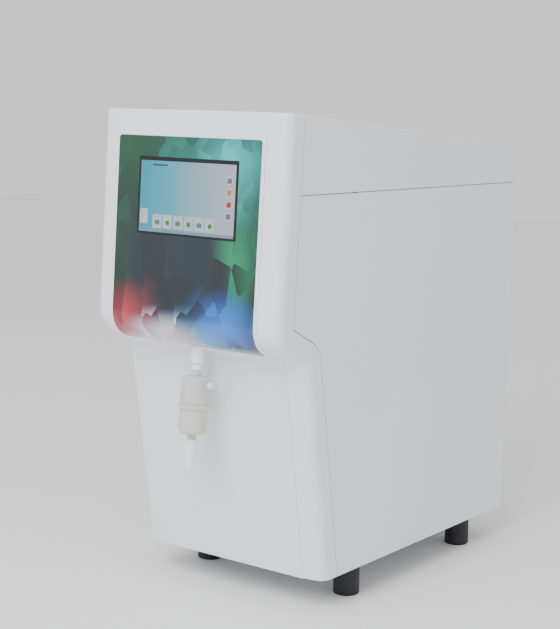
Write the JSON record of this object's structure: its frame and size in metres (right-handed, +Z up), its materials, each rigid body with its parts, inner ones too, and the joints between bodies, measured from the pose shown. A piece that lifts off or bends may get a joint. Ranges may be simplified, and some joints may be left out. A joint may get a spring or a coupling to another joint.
{
  "type": "lab water purification system",
  "caption": "Bench-top lab water purifier with overhanging display head, capsule filter at the dispensing point, lift-off lid and a full treatment train inside.",
  "frame": {"origin": "on the table, under the middle of the whole outline including the rear stems", "axes": "+Z up, -Y the front with the display, +X the right-hand side for someone who faces the display"},
  "size_m": [0.3, 0.6164, 0.6435],
  "materials": {
    "case_plastic": "smooth moulded, cool white",
    "cover_paint": "fine powder coat, cool white",
    "sheet_steel": "zinc plated sheet",
    "fixings": "zinc plated",
    "film": "printed graphic film",
    "glass": "polished",
    "display_can": "black display module",
    "circuit_board": "solder mask",
    "spacers": "plated",
    "foot_rubber": "matt black",
    "tray_plastic": "moulded",
    "canister": "moulded",
    "head_plastic": "moulded blue",
    "membrane": "wound sheet",
    "stainless": "turned",
    "lamp_glass": "quartz",
    "dark_plastic": "moulded black",
    "motor_paint": "satin black",
    "manifold_plastic": "moulded",
    "probe_steel": "turned",
    "blue_tube": "extruded",
    "clear_tube": "extruded",
    "rocker_plastic": "polished",
    "supply_case": "folded sheet",
    "outlet_plastic": "white moulded",
    "capsule_ivory": "milky translucent",
    "capsule_yellow": "pale yellow translucent"
  },
  "bodies": {
    "case": {"base_pan": "sheet_steel", "board_posts": "spacers", "booster_motor": "motor_paint", "booster_pump_head": "head_plastic", "cartridge_heads": "head_plastic", "cartridge_tray": "tray_plastic", "cover_screws": "fixings", "dispense_nozzle": "outlet_plastic", "dispense_valve": "dark_plastic", "display_board": "circuit_board", "display_bracket": "sheet_steel", "feed_water_tubes": "blue_tube", "foot_front_left": "foot_rubber", "foot_front_right": "foot_rubber", "foot_nuts": "fixings", "foot_rear_left": "foot_rubber", "foot_rear_right": "foot_rubber", "foot_screws": "fixings", "front_frame": "sheet_steel", "front_moulding": "case_plastic", "graphic_film": "film", "lcd_module": "display_can", "loop_pump_head": "stainless", "loop_pump_motor": "motor_paint", "main_board": "circuit_board", "polishing_cartridge": "canister", "port_nuts": "fixings", "port_stems": "manifold_plastic", "power_inlet": "dark_plastic", "power_supply": "supply_case", "pretreatment_cartridge": "canister", "pump_cradles": "tray_plastic", "pure_water_tubes": "clear_tube", "rear_panel": "cover_paint", "ro_cap": "head_plastic", "ro_housing": "canister", "ro_membrane": "membrane", "side_panel_left": "cover_paint", "side_panel_right": "cover_paint", "switch_frame": "dark_plastic", "touch_glass": "glass", "upper_deck": "sheet_steel", "uv_cap": "dark_plastic", "uv_lamp": "lamp_glass", "uv_reactor": "stainless", "valve_coils": "dark_plastic", "valve_manifold": "manifold_plastic", "water_sensors": "probe_steel"},
    "lid": {"top_lid": "case_plastic"},
    "rocker": {"power_rocker": "rocker_plastic"},
    "fuse_carrier": {"fuse_drawer": "dark_plastic", "fuse": "glass"},
    "capsule_filter": {"capsule_upper": "capsule_ivory", "capsule_lower": "capsule_yellow", "membrane_core": "membrane", "outlet_connector": "outlet_plastic", "outlet_tip": "outlet_plastic"},
    "latch": {"outlet_latch": "outlet_plastic"},
    "vent": {"vent_plug": "outlet_plastic"},
    "drain": {"drain_plug": "outlet_plastic"}
  },
  "joints": [
    {"name": "lid_lift", "type": "slide", "parent": "case", "child": "lid", "axis": [0, 0.0534, 0.9986], "range_m": [0, 0.12]},
    {"name": "power_rocker", "type": "hinge", "parent": "case", "child": "rocker", "pos_m": [0.095, 0.28, 0.156], "axis": [1, 0, 0], "range_deg": [-12, 0]},
    {"name": "fuse_carrier_slide", "type": "slide", "parent": "case", "child": "fuse_carrier", "axis": [0, 1, 0], "range_m": [0, 0.018]},
    {"name": "capsule_pull", "type": "slide", "parent": "case", "child": "capsule_filter", "axis": [0, -0.0958, -0.9954], "range_m": [0, 0.02]},
    {"name": "latch_press", "type": "slide", "parent": "capsule_filter", "child": "latch", "axis": [1, 0, 0], "range_m": [0, 0.0015], "stiffness_N_per_m": 400},
    {"name": "vent_turn", "type": "hinge", "parent": "capsule_filter", "child": "vent", "pos_m": [0.0218, -0.27584, 0.29791], "axis": [1, 0, 0], "range_deg": [0, 180]},
    {"name": "drain_turn", "type": "hinge", "parent": "capsule_filter", "child": "drain", "pos_m": [-0.0218, -0.28121, 0.24217], "axis": [-1, 0, 0], "range_deg": [0, 180]}
  ]
}
